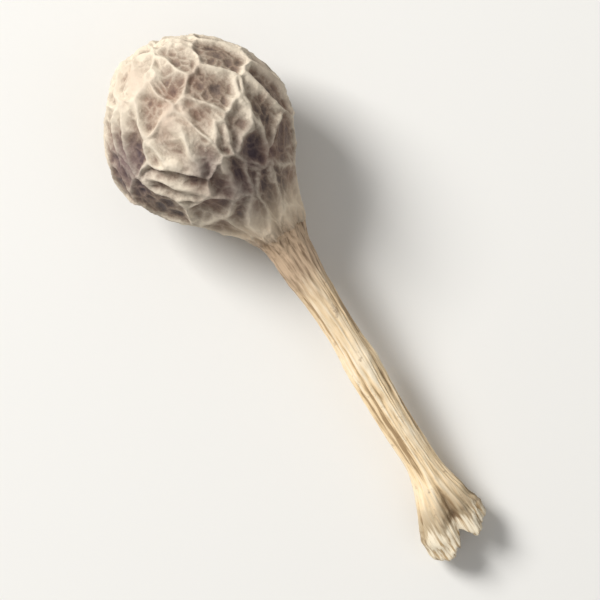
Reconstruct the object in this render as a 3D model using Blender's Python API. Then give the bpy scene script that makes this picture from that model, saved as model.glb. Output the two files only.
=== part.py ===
import math

import bmesh
import bpy
from mathutils import Vector, noise

MM = 0.001

# Driving sizes of the peppercorn, which lies along X with its berry at the -X end
BERRY_WIDTH = 3.46 * MM
APEX_LENGTH = 1.92 * MM  # from the widest section to the far tip
NECK_LENGTH = 2.75 * MM  # from the widest section to the end of the neck
NECK_WIDTH = 0.84 * MM
NECK_SHIFT = 0.25 * MM  # the neck leaves the berry a little to one side
STALK_LENGTH = 6.85 * MM
STALK_WIDTH = 0.63 * MM
STALK_TOP_WIDTH = 0.82 * MM
FOOT_WIDTH = 1.38 * MM
FOOT_HEIGHT = 0.86 * MM
FOOT_LENGTH = 2.2 * MM
FOOT_BOW = 1.25  # above 1 the foot widens later
SEAT_GAP = 0.04 * MM  # between the neck's flat end and the stalk's flat top

# Resting
SPOT_SINK = 0.10 * MM  # how far the underside is flattened
SPOT_CALM = 0.75 * MM  # the net fades out this near to the spot
FOOT_SINK = 0.03 * MM
PLATE_SIZE = 20.0 * MM

# Curve from the widest section down to the neck
NECK_START_SHARE = 0.47  # part of the rings that the rounded end takes
NECK_LEVELLING = 1.09  # the curve would level out this much further on
NECK_BOW = 0.892  # below 1 the berry narrows sooner

# Raised net of the dried skin: ridges along the borders of bent cells
NOISE_SEED = 7
NET_CELL = 0.60 * MM
NET_RELIEF = 0.19 * MM
NET_FLOOR = 0.38  # part of a ridge's height that lies below the smooth berry
NET_WIDTH = 0.15  # width of a ridge's flank, as a part of a cell
NET_ROUNDING = 0.05  # of a ridge's crest, as a part of a cell
NET_STRETCH = 0.74  # below 1 the cells are longer along the berry
NET_BENDS = ((0.34, 0.6), (0.12, 1.9))  # how far the cells bend, and how often
NET_STRENGTH = (0.80, 0.50, 0.45)  # middle, spread and frequency of the ridges' heights
NET_ORIGIN = Vector((12.7, 4.1, 8.3))
LUMP_RELIEF = 0.12 * MM
LUMP_SIZE = 1.7 * MM
RIB_COUNT = 7
RIB_RELIEF = 0.05 * MM
RIB_FLOOR = 0.3  # part of a rib's height that lies below the smooth neck
RIB_WANDER = 0.9
RIB_LENGTH = 1.5 * MM
NECK_ONSET = 0.5 * MM  # where the net starts to draw out into the neck's ribs
NECK_CALM = 0.55  # how much lower the net is on the neck
END_CALM = 0.7  # how much lower all relief is at the neck's end
END_CALM_LENGTH = 0.6 * MM

# Sunken places of the skin: distance along the berry, angle round it from +Y, radius, depth
DENTS = (
    (0.95 * MM, math.radians(68), 0.62 * MM, 0.13 * MM),
    (-0.35 * MM, math.radians(150), 0.60 * MM, 0.09 * MM),
    (-0.55 * MM, math.radians(-35), 0.75 * MM, 0.12 * MM),
    (0.45 * MM, math.radians(215), 0.55 * MM, 0.10 * MM),
)

# Scar of the stigma at the far tip, a low knob in a shallow ring
SCAR_RADIUS = 0.17 * MM
SCAR_HEIGHT = 0.10 * MM
SCAR_CALM = 0.8  # how much lower the net is on the scar
SCAR_RING = 0.32 * MM
SCAR_RING_WIDTH = 0.6  # as a part of the scar's radius
SCAR_RING_DEPTH = 0.7  # as a part of the scar's height

# Course and wrinkles of the stalk
STALK_SETTLING = 0.15  # part of the stalk that leads its course out of the neck
STALK_SWAY = 0.05 * MM
STALK_WAVES = 1.2
STALK_ARCH = 0.10 * MM
FOOT_SHIFT = 0.19 * MM  # towards -Y
TAPER_LENGTH = 1.5 * MM
KNOT_PLACE = 2.55 * MM
KNOT_LENGTH = 0.28 * MM
KNOT_HEIGHT = 0.02 * MM
UNEVEN_RELIEF = 0.03 * MM
UNEVEN_LENGTH = 1.1 * MM
UNEVEN_PLACE = (0.3, 7.7)  # in the noise
WRINKLE_RELIEF = 0.032 * MM
WRINKLE_LENGTH = 2.6 * MM
WRINKLE_NARROWNESS = (1.1, 2.1)  # of the broad and of the sharp wrinkles, round the stalk
WRINKLE_SHARPNESS = 2.2
WRINKLE_FLOOR = 0.45  # part of their height that lies below the smooth stalk
WRINKLE_TWIST = 0.05 / MM

# Torn end of the foot, split by a cleft into two lobes; places are distances across from its middle
LOBES = (-0.36 * MM, 0.42 * MM)
LOBE_HALF = 0.33 * MM
LOBE_ROUND = 0.13 * MM
LOBE_STEEPEST = 1.3  # the rounding levels out this many half widths from a lobe's middle
SHORT_LOBE = 0.20 * MM  # the lobe at +Y ends this much earlier
SHORT_LOBE_SIDE = (0.1 * MM, 0.5 * MM)
CLEFT_PLACE = 0.05 * MM
CLEFT_WIDTH = 0.13 * MM
CLEFT_DEPTH = 0.18 * MM
CLEFT_PINCH = 0.40
CLEFT_LENGTH = 1.6 * MM
FOOT_LUMP = 0.05 * MM
FOOT_LUMP_SIZE = 0.35 * MM
TEAR = 0.10 * MM
TEAR_NARROWNESS = 2.4
TEAR_PLACE = 1.5  # in the noise
END_DEPTH = 0.24 * MM
END_EDGE = 0.10 * MM
END_EDGE_PARTS = 3  # the rounded edge takes one of this many parts of the end
END_HOLLOW = 0.10 * MM
END_HOLLOW_BAND = (0.1, 0.6)  # where the hollow deepens, from the rim (0) to the middle (1)

# Facets
BERRY_SEGMENTS = 200
BERRY_RINGS = 140
BERRY_KEPT = 0.165
STALK_SEGMENTS = 64
STALK_RINGS = 180
STALK_END_RINGS = 18
STALK_KEPT = 0.12

BERRY_RADIUS = BERRY_WIDTH / 2
NECK_RADIUS = NECK_WIDTH / 2
BERRY_HEIGHT = BERRY_RADIUS - SPOT_SINK
REACH = NECK_LENGTH + SEAT_GAP + STALK_LENGTH
LIE_ANGLE = math.asin((BERRY_HEIGHT - FOOT_HEIGHT / 2 + FOOT_SINK) / (REACH - FOOT_HEIGHT / 2))
BERRY_X = (APEX_LENGTH - REACH * math.cos(LIE_ANGLE)) / 2
UNDERSIDE = Vector((math.sin(LIE_ANGLE), 0, -math.cos(LIE_ANGLE)))


def linear(rgb_hex):
    channels = [int(rgb_hex[i:i + 2], 16) / 255 for i in (0, 2, 4)]
    return [c / 12.92 if c <= 0.04045 else ((c + 0.055) / 1.055) ** 2.4 for c in channels] + [1.0]


def make_material(name, colour, roughness):
    material = bpy.data.materials.new(name)
    material.use_nodes = True
    shader = material.node_tree.nodes["Principled BSDF"]
    shader.inputs["Base Color"].default_value = linear(colour)
    shader.inputs["Roughness"].default_value = roughness
    shader.inputs["Metallic"].default_value = 0.0
    return material


def ease(low, high, value):
    step = min(max((value - low) / (high - low), 0.0), 1.0)
    return step * step * (3 - 2 * step)


def bump(distance, radius):
    return math.exp(-(distance / radius) ** 2)


def grow(name, segments, rings, surface, kept, material, collection):
    """A closed skin on a ball: surface(ring, angle) places each ring's points, from pole 0 to the last."""
    mesh = bpy.data.meshes.new(name)
    ball = bmesh.new()
    bmesh.ops.create_uvsphere(ball, u_segments=segments, v_segments=rings, radius=1.0)
    for vertex in ball.verts:
        ring = round(rings - math.acos(min(max(vertex.co.z, -1.0), 1.0)) / math.pi * rings)
        vertex.co = surface(ring, math.atan2(vertex.co.y, vertex.co.x)) / MM
    bmesh.ops.recalc_face_normals(ball, faces=ball.faces)
    ball.to_mesh(mesh)
    ball.free()
    mesh.shade_smooth()
    mesh.materials.append(material)
    solid = bpy.data.objects.new(name, mesh)
    solid.scale = (MM, MM, MM)  # the mesh is in millimetres, as so small a one keeps its facets better
    collection.objects.link(solid)
    facets = solid.modifiers.new("facets", "DECIMATE")
    facets.ratio = kept
    return solid


def berry_section(share):
    """Distance along the axis and radius of the smooth berry, from the tip (0) to the neck's end (1)."""
    if share < NECK_START_SHARE:
        turn = share / NECK_START_SHARE * math.pi / 2
        return -APEX_LENGTH * math.cos(turn), BERRY_RADIUS * math.sin(turn)
    part = (share - NECK_START_SHARE) / (1 - NECK_START_SHARE)
    fall = (part / NECK_LEVELLING) ** NECK_BOW
    wide = (1 + math.cos(math.pi * fall)) / 2
    return part * NECK_LENGTH, NECK_RADIUS + (BERRY_RADIUS - NECK_RADIUS) * wide


def net_ridge(cell):
    """1 on the border between two cells, falling off on both sides."""
    near = noise.voronoi(cell)[0]
    return math.exp((NET_ROUNDING - math.hypot(near[1] - near[0], NET_ROUNDING)) / NET_WIDTH)


def ribs(angle, x):
    wander = noise.noise(Vector((x / RIB_LENGTH, math.cos(angle), math.sin(angle))))
    return math.cos(RIB_COUNT * angle + RIB_WANDER * wander)


def skin_relief(x, radius, angle):
    """Height of the dried skin above the smooth berry."""
    neck = ease(NECK_ONSET, NECK_LENGTH, x)
    drawn_out = radius + (BERRY_RADIUS - radius) * NECK_CALM * neck
    place = Vector((x, drawn_out * math.cos(angle), drawn_out * math.sin(angle)))
    cell = Vector((place.x * NET_STRETCH, place.y, place.z)) / NET_CELL + NET_ORIGIN
    for bend, frequency in NET_BENDS:
        cell += bend * noise.noise_vector(cell * frequency)
    middle, spread, frequency = NET_STRENGTH
    height = NET_RELIEF * (middle + spread * noise.noise(cell * frequency)) * (net_ridge(cell) - NET_FLOOR)
    height *= 1 - NECK_CALM * neck
    height += LUMP_RELIEF * noise.noise(place / LUMP_SIZE + NET_ORIGIN)
    return height + RIB_RELIEF * neck * (ribs(angle, x) - RIB_FLOOR)


def tip_scar(height, from_tip):
    """Height of the skin near the far tip, where the scar takes the place of the net."""
    knob = bump(from_tip, SCAR_RADIUS)
    moat = bump(from_tip - SCAR_RING, SCAR_RADIUS * SCAR_RING_WIDTH)
    return height * (1 - SCAR_CALM * knob) + SCAR_HEIGHT * (knob - SCAR_RING_DEPTH * moat)


def berry_surface(ring, angle):
    if ring == BERRY_RINGS:
        return Vector((NECK_LENGTH, NECK_SHIFT, 0))
    share = ring / (BERRY_RINGS - 1)
    x, radius = berry_section(share)
    step = 0.5 / BERRY_RINGS
    before, after = berry_section(max(share - step, 0)), berry_section(min(share + step, 1))
    slope = Vector((after[0] - before[0], after[1] - before[1])).normalized()
    round_side = Vector((0, math.cos(angle), math.sin(angle)))
    point = Vector((x, 0, 0)) + round_side * radius
    height = skin_relief(x, radius, angle)
    for dent_x, dent_angle, dent_radius, depth in DENTS:
        middle = Vector((dent_x, math.cos(dent_angle) * BERRY_RADIUS, math.sin(dent_angle) * BERRY_RADIUS))
        height -= depth * bump((point - middle).length, dent_radius)
    height *= 1 - bump((point - UNDERSIDE * BERRY_RADIUS).length, SPOT_CALM)
    height *= 1 - END_CALM * ease(NECK_LENGTH - END_CALM_LENGTH, NECK_LENGTH, x)
    height = tip_scar(height, (point - Vector((-APEX_LENGTH, 0, 0))).length)
    point += Vector((-slope.y, slope.x * round_side.y, slope.x * round_side.z)) * height
    point.x = min(point.x, NECK_LENGTH)
    if ring == BERRY_RINGS - 1:
        point.x = NECK_LENGTH
    point.y += NECK_SHIFT * ease(0, NECK_LENGTH, x)
    return point


def stalk_line(s):
    """Middle of the stalk at a distance from its top."""
    share = s / STALK_LENGTH
    settled = ease(0, STALK_SETTLING, share)
    y = NECK_SHIFT + STALK_SWAY * math.sin(2 * STALK_WAVES * math.pi * share) * settled
    y -= FOOT_SHIFT * ease(STALK_LENGTH - FOOT_LENGTH, STALK_LENGTH, s)
    z = STALK_ARCH * math.sin(math.pi * share) * settled
    return Vector((NECK_LENGTH + SEAT_GAP + s, y, z))


def stalk_radius(s):
    """Half the stalk's thickness across and upright."""
    base = STALK_WIDTH / 2 + (STALK_TOP_WIDTH - STALK_WIDTH) / 2 * (1 - ease(0, TAPER_LENGTH, s))
    base += KNOT_HEIGHT * bump(s - KNOT_PLACE, KNOT_LENGTH)
    base += UNEVEN_RELIEF * noise.noise(Vector((s / UNEVEN_LENGTH, *UNEVEN_PLACE)))
    flare = ease(STALK_LENGTH - FOOT_LENGTH, STALK_LENGTH - FOOT_HEIGHT / 2, s) ** FOOT_BOW
    return base + (FOOT_WIDTH / 2 - base) * flare, base + (FOOT_HEIGHT / 2 - base) * flare


def stalk_relief(s, angle):
    """Height of the lengthwise wrinkles, which wind slowly round the stalk."""
    turn = angle + WRINKLE_TWIST * s
    around = Vector((math.cos(turn), math.sin(turn), 0))
    along = Vector((0, 0, s / WRINKLE_LENGTH))
    broad, sharp = (noise.noise(narrowness * around + along) for narrowness in WRINKLE_NARROWNESS)
    return WRINKLE_RELIEF * (broad + 1 - WRINKLE_SHARPNESS * abs(sharp) - WRINKLE_FLOOR)


def torn_end(y, angle, inward):
    """How far the end of the foot reaches beyond a plain one, at a place across and round it."""
    lobe = min(abs(y - middle) for middle in LOBES) / LOBE_HALF
    reach = -LOBE_ROUND * min(lobe, LOBE_STEEPEST) ** 2
    reach -= CLEFT_DEPTH * bump(y - CLEFT_PLACE, CLEFT_WIDTH)
    reach -= SHORT_LOBE * ease(*SHORT_LOBE_SIDE, y)
    around = Vector((math.cos(angle), math.sin(angle), 0)) * TEAR_NARROWNESS
    reach += TEAR * noise.noise(around + Vector((0, 0, TEAR_PLACE)))
    reach += END_EDGE * math.sin(min(inward * END_EDGE_PARTS, 1) * math.pi / 2)
    return reach - END_HOLLOW * ease(*END_HOLLOW_BAND, inward)


def stalk_surface(ring, angle):
    if ring == 0:
        return stalk_line(0)
    end_ring = STALK_RINGS - STALK_END_RINGS
    s = min((ring - 1) / (end_ring - 1), 1.0) * (STALK_LENGTH - END_DEPTH)
    inward = max(ring - end_ring, 0) / STALK_END_RINGS
    rim = math.cos(inward * math.pi / 2)
    across, upright = stalk_radius(s)
    y = across * math.cos(angle) * rim
    z = upright * math.sin(angle) * rim
    cleft = ease(STALK_LENGTH - CLEFT_LENGTH, STALK_LENGTH, s)
    z *= 1 - CLEFT_PINCH * bump(y - CLEFT_PLACE, CLEFT_WIDTH) * cleft
    foot = ease(STALK_LENGTH - FOOT_LENGTH, STALK_LENGTH - END_DEPTH, s)
    height = stalk_relief(s, angle) + foot * FOOT_LUMP * noise.noise(Vector((y, z, s)) / FOOT_LUMP_SIZE)
    reach = ease(STALK_LENGTH - FOOT_LENGTH / 2, STALK_LENGTH - END_DEPTH, s) * torn_end(y, angle, inward)
    height *= rim
    return stalk_line(s) + Vector((reach, y + height * math.cos(angle), z + height * math.sin(angle)))


def flatten_underside(solid, plate):
    cut = solid.modifiers.new("rest", "BOOLEAN")
    cut.operation = "DIFFERENCE"
    cut.object = plate


def main():
    for old in list(bpy.data.objects):
        bpy.data.objects.remove(old)
    noise.seed_set(NOISE_SEED)
    peppercorn = bpy.data.collections.new("voatsiperifery_pepper")
    cutters = bpy.data.collections.new("cutters")
    bpy.context.scene.collection.children.link(peppercorn)
    bpy.context.scene.collection.children.link(cutters)

    skin = make_material("dried_pepper_skin", "968470", 0.72)
    straw = make_material("dry_stalk", "dcc69c", 0.62)

    lie = bpy.data.objects.new("lie", None)
    lie.location = (BERRY_X, 0, BERRY_HEIGHT)
    lie.rotation_euler = (0, LIE_ANGLE, 0)
    peppercorn.objects.link(lie)

    bpy.ops.mesh.primitive_cube_add(size=PLATE_SIZE, location=(0, 0, -PLATE_SIZE / 2))
    plate = bpy.context.object
    plate.name = "rest_plane"
    plate.hide_render = True
    plate.display_type = "WIRE"
    for collection in plate.users_collection:
        collection.objects.unlink(plate)
    cutters.objects.link(plate)

    berry = grow("berry", BERRY_SEGMENTS, BERRY_RINGS, berry_surface, BERRY_KEPT, skin, peppercorn)
    stalk = grow("stalk", STALK_SEGMENTS, STALK_RINGS, stalk_surface, STALK_KEPT, straw, peppercorn)
    for solid in (berry, stalk):
        solid.parent = lie
        flatten_underside(solid, plate)


main()
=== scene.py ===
import math

import bmesh
import bpy
from mathutils import Matrix, Vector, noise


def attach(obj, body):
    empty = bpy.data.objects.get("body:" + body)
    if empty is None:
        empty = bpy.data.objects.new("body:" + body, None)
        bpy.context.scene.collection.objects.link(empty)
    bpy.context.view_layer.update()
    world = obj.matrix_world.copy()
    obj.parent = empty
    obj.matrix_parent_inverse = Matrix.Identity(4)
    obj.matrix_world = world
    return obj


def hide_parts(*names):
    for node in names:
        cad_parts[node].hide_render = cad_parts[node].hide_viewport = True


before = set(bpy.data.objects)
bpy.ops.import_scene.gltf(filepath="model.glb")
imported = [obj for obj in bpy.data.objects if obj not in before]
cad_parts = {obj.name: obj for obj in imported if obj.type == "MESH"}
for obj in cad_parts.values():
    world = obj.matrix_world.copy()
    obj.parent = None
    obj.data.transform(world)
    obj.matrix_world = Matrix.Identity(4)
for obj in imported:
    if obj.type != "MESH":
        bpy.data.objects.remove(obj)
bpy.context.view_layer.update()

mm = 0.001
coarse = 1.0
tiny = 1e-6
noise.seed_set(7)  # the skin's warp repeats each run

# How the peppercorn lies, in millimetres: tip to -X, foot to +X, berry and foot both on the floor
lie = {
    "berryWidth": 3.46, "apexLength": 1.92, "neckLength": 2.75, "neckWidth": 0.84, "neckShift": 0.25,
    "stalkLength": 6.85, "stalkWidth": 0.63, "stalkTop": 0.82,
    "footWidth": 1.38, "footHeight": 0.86, "footLength": 2.2,
    "seatGap": 0.04, "spotSink": 0.10, "footSink": 0.03,
}
berryRadius, neckRadius, footRadius = lie["berryWidth"] / 2, lie["neckWidth"] / 2, lie["footHeight"] / 2
neckLength, stalkLength = lie["neckLength"], lie["stalkLength"]
berryHeight = berryRadius - lie["spotSink"]
footPlace = neckLength + lie["seatGap"] + stalkLength
lieAngle = math.asin((berryHeight - footRadius + lie["footSink"]) / (footPlace - footRadius))
berryX = (lie["apexLength"] - footPlace * math.cos(lieAngle)) / 2
lieMatrix = Matrix.Translation((berryX, 0, berryHeight)) @ Matrix.Rotation(lieAngle, 4, "Y")
underside = Vector((math.sin(lieAngle), 0, -math.cos(lieAngle)))


# A smooth step from 0 at low to 1 at high
def ease(low, high, value):
    step = min(max((value - low) / (high - low), 0.0), 1.0)
    return step * step * (3 - 2 * step)


# A bell: 1 in its middle, nearly 0 at twice its radius
def bump(distance, radius):
    return math.exp(-(distance / radius) ** 2)


# An sRGB hex colour as the linear one that the shaders take
def linear(hexColour):
    channels = [int(hexColour[i:i + 2], 16) / 255 for i in (1, 3, 5)]
    return [c / 12.92 if c <= 0.04045 else ((c + 0.055) / 1.055) ** 2.4 for c in channels] + [1.0]


# One node with its settings, its values or links, and the stops of its ramp
def addNode(tree, kind, inputs=None, stops=None, **settings):
    made = tree.nodes.new(kind)
    for key, value in settings.items():
        setattr(made, key, value)
    for key, value in (inputs or {}).items():
        if isinstance(value, bpy.types.NodeSocket):
            tree.links.new(value, made.inputs[key])
        else:
            made.inputs[key].default_value = value
    if stops:
        ramp = made.color_ramp
        while len(ramp.elements) < len(stops):
            ramp.elements.new(1.0)
        for element, (place, colour) in zip(ramp.elements, stops):
            element.position = place
            element.color = linear(colour) if isinstance(colour, str) else (colour, colour, colour, 1)
    return made


# Texture scale for a pattern of this real size in millimetres
def scaleFor(size):
    return 1 / (size * mm)


# A closed skin on a ball: surface(share, angle) gives each point in millimetres and its painted values
def growSkin(name, segments, rings, surface, painted):
    ball = bmesh.new()
    bmesh.ops.create_uvsphere(ball, u_segments=segments, v_segments=rings, radius=1.0)
    layers = {key: ball.verts.layers.float.new(key) for key in painted}
    for vertex in ball.verts:
        share = 1 - math.acos(min(max(vertex.co.z, -1.0), 1.0)) / math.pi
        point, values = surface(share, math.atan2(vertex.co.y, vertex.co.x))
        point = lieMatrix @ point
        point.z = max(point.z, 0.0)  # pressed flat where it lies
        vertex.co = point * mm
        for key in painted:
            vertex[layers[key]] = values[key]
    bmesh.ops.recalc_face_normals(ball, faces=ball.faces)
    mesh = bpy.data.meshes.new(name)
    ball.to_mesh(mesh)
    ball.free()
    mesh.shade_smooth()
    piece = bpy.data.objects.new(name, mesh)
    bpy.context.scene.collection.objects.link(piece)
    return piece


# Sizes and heights are in millimetres, angles in degrees round the axis; the rest are counts and shares
berry = {
    "segments": int(420 * coarse), "rings": int(215 * coarse),
    "painted": ("ridge", "crinkle", "paintedShade", "tip", "collar", "neck"),
    "tipShare": 0.47,  # part of the rings that the rounded end takes
    "neckOnset": 0.5, "neckFall": 1.09, "neckCurve": 0.892,  # how the body narrows to the neck
    "slopeStep": 0.004, "spotRadius": 0.75,
    # the raised net over the whole skin: broad folds between cells, drawn out and lower on the neck
    "netCell": 0.60, "netRelief": 0.19, "netWidth": 0.15, "netLevel": 0.38, "netGain": 1.15,
    "netStretch": 0.74, "netSqueeze": 0.55, "netOrigin": Vector((12.7, 4.1, 8.3)), "neckCalm": 0.55,
    "bend": 0.34, "bendRate": 0.6, "kink": 0.12, "kinkRate": 1.9, "foldRound": 0.05,
    "strength": 0.80, "strengthSpread": 0.50, "strengthRate": 0.45,
    # small crinkles in the cells, weaker on the crests
    "crinkleCell": 0.20, "crinkleRelief": 0.032, "crinkleWidth": 0.22, "crinkleLevel": 0.35,
    "crinkleBend": 0.3, "crinkleBendRate": 0.7, "crestCalm": 0.5,
    "grainSize": 0.09, "grainRelief": 0.012, "lumpSize": 1.7, "lumpRelief": 0.12,
    "ribCount": 7, "ribRelief": 0.05, "ribLevel": 0.3, "ribBend": 0.9, "ribBendSize": 1.5,
    # place along the axis, angle, radius and depth of each dent, which is also darkened as painted shade;
    # each painted shade patch, with no dent under it, has its strength for a depth
    "dents": (
        (0.95, 68, 0.62, 0.13), (-0.35, 150, 0.60, 0.09), (-0.55, -35, 0.75, 0.12), (0.45, 215, 0.55, 0.10),
    ),
    "shadePatches": ((0.42, 99, 0.36, 0.85), (1.05, 88, 0.58, 0.85), (1.60, 93, 0.45, 0.50)),
    # the stigma's scar, a small knob in a ring-shaped hollow
    "scarRadius": 0.17, "scarHeight": 0.10, "scarCalm": 0.8,
    "ringDepth": 0.7, "ringPlace": 1.9, "ringWidth": 0.6,
    # the neck's skin grows calm and thins out onto the stalk
    "endLength": 0.6, "endCalm": 0.5, "tuck": 0.10, "tuckLength": 0.45,
    # how far the painted highlight on the tip reaches, where the collar is paler, and where the stalk's tone
    # sets in
    "tipTone": 1.9, "collarPlace": 2.1, "collarWidth": 0.38, "neckTone": 1.9,
}


def berrySection(share):
    tipShare = berry["tipShare"]
    if share < tipShare:
        turn = share / tipShare * math.pi / 2
        return -lie["apexLength"] * math.cos(turn), berryRadius * math.sin(turn)
    x = (share - tipShare) / (1 - tipShare) * neckLength
    fall = (x / (neckLength * berry["neckFall"])) ** berry["neckCurve"]
    return x, neckRadius + (berryRadius - neckRadius) * (1 + math.cos(math.pi * fall)) / 2


# Radius of the plain body at a place on the neck's side
def bodyRadius(x):
    return berrySection(berry["tipShare"] + (1 - berry["tipShare"]) * x / neckLength)[1]


def aroundAxis(x, degrees, radius):
    turn = math.radians(degrees)
    return Vector((x, math.cos(turn) * radius, math.sin(turn) * radius))


def ribs(angle, x):
    place = Vector((x / berry["ribBendSize"], math.cos(angle), math.sin(angle)))
    return math.cos(berry["ribCount"] * angle + berry["ribBend"] * noise.noise(place))


# 1 on the fold between two cells, falling off as a soft crease over this share of a cell
def fold(cell, width):
    near = noise.voronoi(cell)[0]
    return math.exp((berry["foldRound"] - math.hypot(near[1] - near[0], berry["foldRound"])) / width)


def skinRelief(x, radius, angle):
    neck = ease(berry["neckOnset"], neckLength, x)
    roundSize = radius + (berryRadius - radius) * berry["netSqueeze"] * neck
    place = Vector((x, roundSize * math.cos(angle), roundSize * math.sin(angle)))
    cell = Vector((place.x * berry["netStretch"], place.y, place.z)) / berry["netCell"] + berry["netOrigin"]
    bend = berry["bend"] * noise.noise_vector(cell * berry["bendRate"])
    kink = berry["kink"] * noise.noise_vector(cell * berry["kinkRate"])
    cell += bend + kink
    ridge = fold(cell, berry["netWidth"])
    strength = berry["strength"] + berry["strengthSpread"] * noise.noise(cell * berry["strengthRate"])
    height = berry["netRelief"] * strength * (ridge - berry["netLevel"])
    fineCell = cell * berry["netCell"] / berry["crinkleCell"]
    fineCell += berry["crinkleBend"] * noise.noise_vector(fineCell * berry["crinkleBendRate"])
    crinkle = fold(fineCell, berry["crinkleWidth"])
    height += berry["crinkleRelief"] * (crinkle - berry["crinkleLevel"]) * (1 - berry["crestCalm"] * ridge)
    height *= 1 - berry["neckCalm"] * neck
    height += berry["grainRelief"] * noise.noise(place / berry["grainSize"])
    height += berry["lumpRelief"] * noise.noise(place / berry["lumpSize"] + berry["netOrigin"])
    height += berry["ribRelief"] * neck * (ribs(angle, x) - berry["ribLevel"])
    return height, min(ridge * strength * berry["netGain"], 1.0), crinkle


# Share of the relief that is left near the end of the neck
def endShare(x):
    return 1 - berry["endCalm"] * ease(neckLength - berry["endLength"], neckLength, x)


def berrySurface(share, angle):
    lastRing = 1 - 1 / berry["rings"]
    isPole = share > lastRing + tiny
    share = min(share / lastRing, 1.0)
    x, radius = berrySection(share)
    before = berrySection(max(share - berry["slopeStep"], 0))
    after = berrySection(min(share + berry["slopeStep"], 1))
    slope = Vector((after[0] - before[0], after[1] - before[1])).normalized()
    height, ridge, crinkle = skinRelief(x, radius, angle)
    roundSide = Vector((0, math.cos(angle), math.sin(angle)))
    point = Vector((x, 0, 0)) + roundSide * radius

    # the dents sink the skin, and they and the shade patches are darkened mauve as painted shade
    paintedShade = 0.0
    for place, degrees, size, depth in berry["dents"]:
        sunk = bump((point - aroundAxis(place, degrees, berryRadius)).length, size)
        height -= depth * sunk
        paintedShade = max(paintedShade, sunk)
    for place, degrees, size, strength in berry["shadePatches"]:
        away = (point - aroundAxis(place, degrees, bodyRadius(place))).length
        paintedShade = max(paintedShade, strength * bump(away, size))
    height *= 1 - bump((point - underside * berryRadius).length, berry["spotRadius"])

    fromTip = (point - Vector((-lie["apexLength"], 0, 0))).length
    scar = berry["scarRadius"]
    height *= 1 - berry["scarCalm"] * bump(fromTip, scar)
    ring = bump(fromTip - berry["ringPlace"] * scar, scar * berry["ringWidth"])
    height += berry["scarHeight"] * (bump(fromTip, scar) - berry["ringDepth"] * ring)
    height *= endShare(x)
    height -= berry["tuck"] * ease(neckLength - berry["tuckLength"], neckLength, x)

    normal = Vector((-slope.y, slope.x * roundSide.y, slope.x * roundSide.z))
    if share >= 1.0:
        normal = roundSide
    if isPole:
        point, height = Vector((neckLength, 0, 0)), 0
    point += normal * height
    point.x = min(point.x, neckLength)
    point.y += lie["neckShift"] * ease(0, neckLength, x)
    # the tip value is a painted highlight: paler towards the tip, which faces the key lamp
    return point, {
        "ridge": ridge, "crinkle": crinkle, "paintedShade": paintedShade, "tip": bump(fromTip, berry["tipTone"]),
        "collar": bump(x - berry["collarPlace"], berry["collarWidth"]),
        "neck": ease(berry["neckTone"], neckLength, x),
    }


# Where the skin thins out onto the stalk both have one tone, streaked lengthwise
neckLook = {
    "tones": ((0.32, "#80684f"), (0.56, "#c6ab8d")),  # groove, skin
    "streakWidth": 0.07, "streakStretch": (0.10, 1, 1),
}


def neckTone(tree, place):
    stretch = addNode(tree, "ShaderNodeMapping", {"Vector": place, "Scale": neckLook["streakStretch"]})
    streak = addNode(tree, "ShaderNodeTexNoise", {
        "Vector": stretch.outputs["Vector"], "Scale": scaleFor(neckLook["streakWidth"]), "Detail": 4.0})
    tone = addNode(tree, "ShaderNodeValToRGB", {"Fac": streak.outputs["Fac"]}, neckLook["tones"])
    return tone.outputs["Color"]
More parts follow.
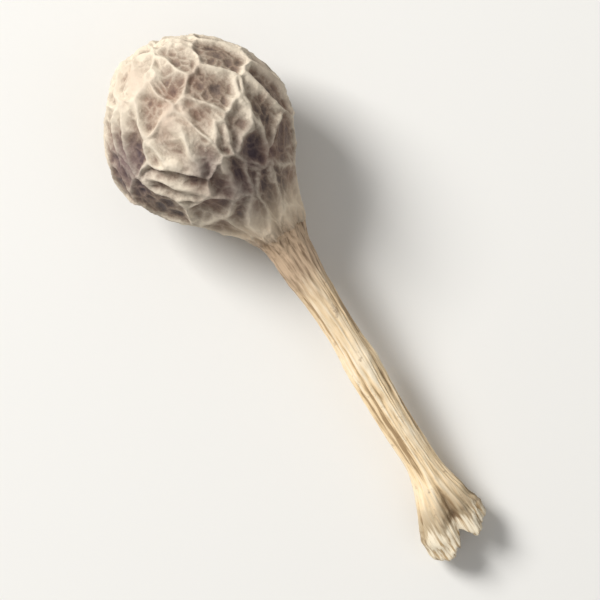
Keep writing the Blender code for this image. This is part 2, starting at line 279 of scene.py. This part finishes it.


# Pericarp of a wild pepper berry, dried in the sun: the flesh shrank on the seed, so the skin is matt and
# leathery, grey-brown with paler ridges (partly rubbed, partly a painted highlight), darker valleys (partly
# painted shade) and dark mauve dents of painted shade
def driedPericarp():
    look = {
        # the valley's dark tone is partly painted shade, and the crest's pale tone is partly a painted
        # highlight
        "tones": ((0.20, "#33262a"), (0.48, "#8f7a68"), (0.88, "#e1d3bd")),  # valley, skin, rubbed crest
        # size in millimetres, detail and roughness; the skin's cells, some 0.03 mm across, are too fine to
        # show, so the grain is a little coarser
        "patterns": {"mottle": (0.30, 6.0, 0.6), "patch": (1.3, 3.0, 0.5), "grain": (0.045, 4.0, 0.7)},
        # how much each of these makes a place paler or, below 0, darker; on the ridges and crinkles this is
        # partly a painted highlight, on the tip a painted highlight, and in the dents and the shade patches
        # a painted shade
        "lifts": {
            "ridge": 0.55, "crinkle": 0.22, "mottle": 0.55, "paintedShade": -0.28, "tip": 0.10, "collar": 0.22,
            "grain": 0.36,
        },
        "rust": "#99664f", "rustShare": ((0.52, 0.0), (0.74, 0.38)),
        "mauve": "#5d4850", "mauveShare": 0.6,
        "pale": "#f1dcbf", "paleShare": 0.65,
        "roughness": (0.45, 0.80), "grainHeight": 0.03, "grainStrength": 0.8,
    }
    material = bpy.data.materials.new("driedPericarp")
    material.use_nodes = True
    tree = material.node_tree
    shader = tree.nodes["Principled BSDF"]
    place = addNode(tree, "ShaderNodeTexCoord").outputs["Object"]
    source = {name: addNode(tree, "ShaderNodeAttribute", attribute_name=name).outputs["Fac"]
              for name in berry["painted"]}
    for name, (size, detail, roughness) in look["patterns"].items():
        pattern = addNode(tree, "ShaderNodeTexNoise", {
            "Vector": place, "Scale": scaleFor(size), "Detail": detail, "Roughness": roughness})
        source[name] = pattern.outputs["Fac"]

    # how high on the net a place is, roughened by the mottle, the crinkles and the grain, raised by the
    # tip's painted highlight and lowered by the dents' painted shade; high places take the pale crest
    # (partly a painted highlight), low ones the dark valley (partly painted shade)
    level = -look["lifts"]["grain"] / 2
    for name, lift in look["lifts"].items():
        inputs = {0: source[name], 1: lift, 2: level}
        level = addNode(tree, "ShaderNodeMath", inputs, operation="MULTIPLY_ADD").outputs[0]
    colour = addNode(tree, "ShaderNodeValToRGB", {"Fac": level}, look["tones"]).outputs["Color"]

    rusty = addNode(tree, "ShaderNodeValToRGB", {"Fac": source["patch"]}, look["rustShare"])
    # the dents and the shade patches take the mauve as painted shade; the collar takes the pale tone
    paintedShadeShare, faded = (
        addNode(tree, "ShaderNodeMath", {0: source[name], 1: most}, operation="MULTIPLY").outputs[0]
        for name, most in (("paintedShade", look["mauveShare"]), ("collar", look["paleShare"])))
    for share, layer in (
        (rusty.outputs["Color"], linear(look["rust"])), (paintedShadeShare, linear(look["mauve"])),
        (faded, linear(look["pale"])), (source["neck"], neckTone(tree, place)),
    ):
        mixed = addNode(tree, "ShaderNodeMix", {"Factor": share, "A": colour, "B": layer}, data_type="RGBA")
        colour = mixed.outputs["Result"]
    tree.links.new(colour, shader.inputs["Base Color"])

    smooth, dull = look["roughness"]
    rough = addNode(tree, "ShaderNodeMapRange", {
        "Value": source["grain"], "To Min": smooth, "To Max": dull})
    tree.links.new(rough.outputs["Result"], shader.inputs["Roughness"])
    relief = addNode(tree, "ShaderNodeBump", {
        "Height": source["grain"], "Distance": look["grainHeight"] * mm, "Strength": look["grainStrength"]})
    tree.links.new(relief.outputs["Normal"], shader.inputs["Normal"])
    return material


berryPiece = growSkin("berrySkin", berry["segments"], berry["rings"], berrySurface, berry["painted"])
berryPiece.data.materials.append(driedPericarp())
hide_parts("berry")
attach(berryPiece, "root")
print("berry done")


# Places and lengths are in millimetres from the top of the stalk or back from its end
stalk = {
    "segments": int(170 * coarse), "rings": int(560 * coarse),
    "painted": ("along", "fibre", "cleft", "cut", "pith"),
    # its line: a slight S, an arch, and the foot off to one side
    "sway": 0.05, "halfWaves": 2.4, "arch": 0.10, "settling": 0.15, "footShift": 0.19,
    # its thickness
    "taper": 1.5, "knotPlace": 2.55, "knotWidth": 0.28, "knotRelief": 0.02,
    "uneven": 0.03, "unevenLength": 1.1, "unevenPlace": (0.3, 7.7), "footBow": 1.25,
    # it comes out of the neck's wall with the same wrinkles
    "rootLength": 0.40, "underSkin": 0.035, "rootBlend": (-0.15, 0.8),
    # lengthwise patterns: how fine round the stalk and how long, then their heights
    "twist": 0.05, "swell": (1.1, 2.6), "wrinkle": (2.1, 2.6), "fibre": (6.5, 1.6), "pimple": (3.0, 0.22),
    "swellRelief": 0.03, "wrinkleRelief": 0.032, "fibreRelief": 0.014, "pimpleRelief": 0.010,
    "sharpness": 2.2, "wrinkleLevel": 0.45, "fibreLevel": 0.4, "wrinkleTone": 0.65,
    # the foot, coarser in its fibres, with a cleft between two lobes
    "footEnd": 0.6, "footFibre": 0.034, "footLump": 0.05, "footLumpSize": 0.35,
    "cleftPlace": 0.05, "cleftWidth": 0.13, "cleftDepth": 0.18, "cleftPinch": 0.40,
    "cleftStart": 1.6, "cleftFull": 0.5,
    "lobes": (-0.36, 0.42), "lobeHalf": 0.33, "lobeEdge": 1.3, "lobeRound": 0.13,
    "shortLobe": 0.20, "shortSide": (0.1, 0.5),
    # the torn end; each tear is how fine, which place in the noise, share of the height
    "footCap": 0.12, "endLength": 1.1, "endDepth": 0.24, "edgeRound": 0.10, "edgeParts": 3,
    "endHollow": 0.10, "hollowBand": (0.1, 0.6),
    "tear": 0.10, "tears": ((2.4, 1.5, 1.0), (7.0, 4.5, 0.5), (17.0, 2.5, 0.4)),
    # roughness of its face: height, size, place in the noise
    "clumps": (0.06, 0.22, 2.0), "grains": (0.04, 0.07, 5.0),
    "cracks": (0.16, 0.15, 8.0), "crackLevel": 0.05,
    # where the bark ends, the pith, and the place over the knot that is paler on its upper side
    "bareLength": 0.92, "bareWander": 0.30, "bareTear": (2.5, 6.1), "bareEdge": 0.45,
    "pithBand": (0.25, 0.75), "knotTopTone": 0.32, "knotTopPlace": 2.45, "knotTopLength": 0.5,
}


# Noise that closes on itself round the stalk
def noiseRound(fineness, angle, place):
    return noise.noise(Vector((fineness * math.cos(angle), fineness * math.sin(angle), place)))


def stalkLine(s):
    share = s / stalkLength
    settled = ease(0, stalk["settling"], share)
    y = lie["neckShift"] + stalk["sway"] * math.sin(stalk["halfWaves"] * math.pi * share) * settled
    y -= stalk["footShift"] * ease(stalkLength - lie["footLength"], stalkLength, s)
    z = stalk["arch"] * math.sin(math.pi * share) * settled
    return Vector((neckLength + lie["seatGap"] + s, y, z))


# Thickness of the neck's own wall at a place of the stalk's root
def neckWall(s, angle):
    x = min(neckLength + s, neckLength)
    radius = bodyRadius(x)
    return radius + endShare(x) * skinRelief(x, radius, angle)[0] - stalk["underSkin"]


def stalkRadius(s):
    top = 1 - ease(0, stalk["taper"], s)
    knot = bump(s - stalk["knotPlace"], stalk["knotWidth"])
    base = lie["stalkWidth"] / 2 + (lie["stalkTop"] - lie["stalkWidth"]) / 2 * top
    base += stalk["knotRelief"] * knot
    base += stalk["uneven"] * noise.noise(Vector((s / stalk["unevenLength"], *stalk["unevenPlace"])))
    flare = ease(stalkLength - lie["footLength"], stalkLength - footRadius, s) ** stalk["footBow"]
    return base + (lie["footWidth"] / 2 - base) * flare, base + (footRadius - base) * flare


# Height of the lengthwise wrinkles and fibres, which wind slowly round the stalk, and how pale they make it
def stalkRelief(s, angle, foot):
    turn = angle + stalk["twist"] * s
    swell, wrinkle, fibre, pimple = (
        noiseRound(fineness, turn, s / length)
        for fineness, length in (stalk["swell"], stalk["wrinkle"], stalk["fibre"], stalk["pimple"]))
    wrinkle = 1 - stalk["sharpness"] * abs(wrinkle)
    fibre = 1 - stalk["sharpness"] * abs(fibre)
    height = stalk["swellRelief"] * swell
    height += stalk["wrinkleRelief"] * (wrinkle - stalk["wrinkleLevel"])
    height += stalk["pimpleRelief"] * pimple
    height += (stalk["fibreRelief"] + stalk["footFibre"] * foot) * (fibre - stalk["fibreLevel"])
    return height, stalk["wrinkleTone"] * wrinkle + (1 - stalk["wrinkleTone"]) * fibre


# How far the torn end of the foot reaches beyond its plain end, at a place across and round the foot
def tornEnd(y, z, angle, inward):
    lobe = min(abs(y - middle) for middle in stalk["lobes"]) / stalk["lobeHalf"]
    reach = -stalk["lobeRound"] * min(lobe, stalk["lobeEdge"]) ** 2
    reach -= stalk["cleftDepth"] * bump(y - stalk["cleftPlace"], stalk["cleftWidth"])
    reach -= stalk["shortLobe"] * ease(*stalk["shortSide"], y)
    for fineness, place, share in stalk["tears"]:
        reach += share * stalk["tear"] * noiseRound(fineness, angle, place)
    reach += stalk["edgeRound"] * math.sin(min(inward * stalk["edgeParts"], 1) * math.pi / 2)
    rough = 0.0
    for height, size, layer in (stalk["clumps"], stalk["grains"]):
        rough += height * noise.noise(Vector((y, z, layer)) / size)
    depth, size, layer = stalk["cracks"]
    rough += stalk["crackLevel"] - depth * abs(noise.noise(Vector((y, z, layer)) / size))
    reach += ease(*stalk["hollowBand"], inward) * (rough - stalk["endHollow"])
    return reach


def stalkSurface(share, angle):
    firstRing, footCap = 1 / stalk["rings"], stalk["footCap"]
    along = min(max((share - firstRing) / (1 - firstRing - footCap), 0.0), 1.0)
    inward = max(share - (1 - footCap), 0.0) / footCap
    s = along * (stalkLength - stalk["endDepth"] + stalk["rootLength"]) - stalk["rootLength"]
    across, upright = stalkRadius(s)
    rim = math.cos(inward * math.pi / 2)
    if share < firstRing / 2:
        rim = 0.0
    y = across * math.cos(angle) * rim
    z = upright * math.sin(angle) * rim

    foot = ease(stalkLength - lie["footLength"], stalkLength - stalk["footEnd"], s)
    cleft = bump(y - stalk["cleftPlace"], stalk["cleftWidth"])
    cleft *= ease(stalkLength - stalk["cleftStart"], stalkLength - stalk["cleftFull"], s)
    z *= 1 - stalk["cleftPinch"] * cleft
    grain, fibre = stalkRelief(s, angle, foot)
    grain *= rim
    if s < stalk["rootBlend"][1]:
        inside = 1 - ease(*stalk["rootBlend"], s)
        grain += rim * inside * (neckWall(s, angle) - across - grain)
    grain += foot * rim * stalk["footLump"] * noise.noise(Vector((y, z, s)) / stalk["footLumpSize"])

    end = ease(stalkLength - stalk["endLength"], stalkLength - stalk["endDepth"], s)
    point = stalkLine(s) + Vector((
        end * tornEnd(y, z, angle, inward), y + grain * math.cos(angle), z + grain * math.sin(angle)))
    fineness, place = stalk["bareTear"]
    bare = stalkLength - stalk["bareLength"] + stalk["bareWander"] * noiseRound(fineness, angle, place)
    # paler on the upper side over the knot
    knotTopLift = stalk["knotTopTone"] * bump(s - stalk["knotTopPlace"], stalk["knotTopLength"]) * max(math.sin(angle), 0)
    return point, {
        "along": max(s, 0) / stalkLength, "fibre": fibre + knotTopLift, "cleft": cleft,
        "cut": ease(bare, bare + stalk["bareEdge"], s), "pith": ease(*stalk["pithBand"], inward),
    }


# Woody stalk, dried in the air: pale straw, with lengthwise fibres that catch the light, greyer bark at the
# foot and paler, frayed wood where it tore off
def dryStalk():
    look = {
        "tones": ((0.0, "#a98c66"), (0.25, "#f4d8ac"), (0.62, "#fdedd0")),  # groove, straw, crest
        "barkTones": ((0.38, "#836f56"), (0.56, "#b3a080")),
        "tornTones": ((0.36, "#b3966c"), (0.52, "#f1e4ca")),
        "pith": "#8a6c49", "pithShare": 0.55,
        # the fleck colour marks real dark flecks and, in the cleft between the lobes, a painted shade
        "fleck": "#7d6044", "fleckShare": ((0.60, 0.0), (0.72, 0.6)), "cleftShare": 0.6,
        # how far each tone goes, along the stalk or over the torn end
        "neckShare": ((0.07, 1.0), (0.16, 0.30), (0.42, 0.0)), "barkShare": ((0.78, 0.0), (0.86, 0.8)),
        "tornShare": ((0.35, 0.0), (0.80, 0.9)),
        "streakLift": 0.9, "fibreLift": 0.55, "borderWander": 0.16, "tearWander": 1.6,
        # the streaks are bundles of fibres, because single ones, about 0.02 mm wide, are too fine to show
        "streakWidth": 0.06, "streakStretch": (0.08, 1, 1), "fleckSize": 0.22,
        "roughness": 0.62, "streakHeight": 0.02, "streakStrength": 0.8,
    }
    material = bpy.data.materials.new("dryStalk")
    material.use_nodes = True
    tree = material.node_tree
    shader = tree.nodes["Principled BSDF"]
    place = addNode(tree, "ShaderNodeTexCoord").outputs["Object"]
    source = {name: addNode(tree, "ShaderNodeAttribute", attribute_name=name).outputs["Fac"]
              for name in stalk["painted"]}
    stretch = addNode(tree, "ShaderNodeMapping", {"Vector": place, "Scale": look["streakStretch"]})
    streaks = addNode(tree, "ShaderNodeTexNoise", {
        "Vector": stretch.outputs["Vector"], "Scale": scaleFor(look["streakWidth"]), "Detail": 4.0})
    streak = streaks.outputs["Fac"]
    fleck = addNode(tree, "ShaderNodeTexNoise", {
        "Vector": place, "Scale": scaleFor(look["fleckSize"]), "Detail": 5.0, "Roughness": 0.65})

    # the streaks shade the wood and run on over the borders between skin, wood, bark and torn end
    level, border, tearing = (
        addNode(tree, "ShaderNodeMath", {0: streak, 1: wander, 2: -wander / 2}, operation="MULTIPLY_ADD")
        for wander in (look["streakLift"], look["borderWander"], look["tearWander"]))
    level = addNode(tree, "ShaderNodeMath", {0: source["fibre"], 1: look["fibreLift"], 2: level.outputs[0]},
                    operation="MULTIPLY_ADD").outputs[0]
    border, tearing = (
        addNode(tree, "ShaderNodeMath", {0: source[name], 1: wander.outputs[0]}, operation="ADD").outputs[0]
        for name, wander in (("along", border), ("cut", tearing)))

    ramp = {}
    for name, value in (
        ("tones", level), ("barkTones", streak), ("tornTones", streak), ("fleckShare", fleck.outputs["Fac"]),
        ("neckShare", border), ("barkShare", border), ("tornShare", tearing),
    ):
        ramp[name] = addNode(tree, "ShaderNodeValToRGB", {"Fac": value}, look[name]).outputs["Color"]
    # the cleft between the lobes is darkened with the fleck colour as painted shade
    cleftShade, pithy = (
        addNode(tree, "ShaderNodeMath", {0: source[name], 1: most}, operation="MULTIPLY").outputs[0]
        for name, most in (("cleft", look["cleftShare"]), ("pith", look["pithShare"])))
    tornWood = addNode(tree, "ShaderNodeMix", {
        "Factor": pithy, "A": ramp["tornTones"], "B": linear(look["pith"])}, data_type="RGBA")
    colour = ramp["tones"]
    for share, layer in (
        (ramp["neckShare"], neckTone(tree, place)), (ramp["barkShare"], ramp["barkTones"]),
        (ramp["fleckShare"], linear(look["fleck"])), (cleftShade, linear(look["fleck"])),
        (ramp["tornShare"], tornWood.outputs["Result"]),
    ):
        mixed = addNode(tree, "ShaderNodeMix", {"Factor": share, "A": colour, "B": layer}, data_type="RGBA")
        colour = mixed.outputs["Result"]
    tree.links.new(colour, shader.inputs["Base Color"])

    relief = addNode(tree, "ShaderNodeBump", {
        "Height": streak, "Distance": look["streakHeight"] * mm, "Strength": look["streakStrength"]})
    tree.links.new(relief.outputs["Normal"], shader.inputs["Normal"])
    shader.inputs["Roughness"].default_value = look["roughness"]
    return material


stalkPiece = growSkin("stalkWood", stalk["segments"], stalk["rings"], stalkSurface, stalk["painted"])
stalkPiece.data.materials.append(dryStalk())
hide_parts("stalk")
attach(stalkPiece, "root")
print("stalk done")


# Studio: a pale sheet, one large soft lamp from the upper left of the picture, a weaker one opposite
studio = {
    "floorSize": 400, "floorColour": "#e9e7e2", "floorRoughness": 0.9,
    "frameWidth": 11.6, "lens": 200, "sensor": 36, "turn": 57.5, "lookAt": (-0.15, -0.08, 0.9),
    "near": 0.001, "far": 10,  # in metres
    # each lamp: how far it stands to the right, up and over the floor in the picture, its size and power
    "lamps": {"keyLamp": ((-0.95, 0.65, 1.0), 60, 0.265), "fillLamp": ((0.8, -0.3, 1.0), 120, 0.02)},
    "lampDistance": 150, "skyStrength": 0.31,
}


# Matt, uncoated paper: it has no gloss, so it shows only soft shadows
def mattPaper():
    paper = bpy.data.materials.new("mattPaper")
    paper.use_nodes = True
    shader = paper.node_tree.nodes["Principled BSDF"]
    shader.inputs["Base Color"].default_value = linear(studio["floorColour"])
    shader.inputs["Roughness"].default_value = studio["floorRoughness"]
    return paper


def makeStudio():
    scene = bpy.context.scene
    bpy.ops.mesh.primitive_plane_add(size=studio["floorSize"] * mm, location=(0, 0, 0))
    floor = bpy.context.object
    floor.name = "floor"
    floor.data.materials.append(mattPaper())

    # straight down, turned so that the stalk runs down and right as the real one does
    camera = bpy.data.objects.new("camera", bpy.data.cameras.new("camera"))
    scene.collection.objects.link(camera)
    camera.data.lens = studio["lens"]
    camera.data.sensor_width = studio["sensor"]
    distance = studio["frameWidth"] * studio["lens"] / studio["sensor"]
    turn = math.radians(studio["turn"])
    camera.location = (Vector(studio["lookAt"]) + Vector((0, 0, distance))) * mm
    camera.rotation_euler = (0, 0, turn)
    camera.data.clip_start = studio["near"]
    camera.data.clip_end = studio["far"]
    scene.camera = camera

    right = Vector((math.cos(turn), math.sin(turn), 0))
    up = Vector((-math.sin(turn), math.cos(turn), 0))
    for name, ((sideways, upward, over), size, power) in studio["lamps"].items():
        toward = right * sideways + up * upward + Vector((0, 0, over))
        lamp = bpy.data.objects.new(name, bpy.data.lights.new(name, "AREA"))
        lamp.data.size = size * mm
        lamp.data.energy = power
        lamp.location = toward.normalized() * studio["lampDistance"] * mm
        lamp.rotation_euler = (-toward).to_track_quat("-Z", "Y").to_euler()
        scene.collection.objects.link(lamp)
    world = bpy.data.worlds.new("studio")
    world.use_nodes = True
    world.node_tree.nodes["Background"].inputs["Color"].default_value = (1, 1, 1, 1)
    world.node_tree.nodes["Background"].inputs["Strength"].default_value = studio["skyStrength"]
    scene.world = world
    scene.view_settings.view_transform = "Standard"


makeStudio()
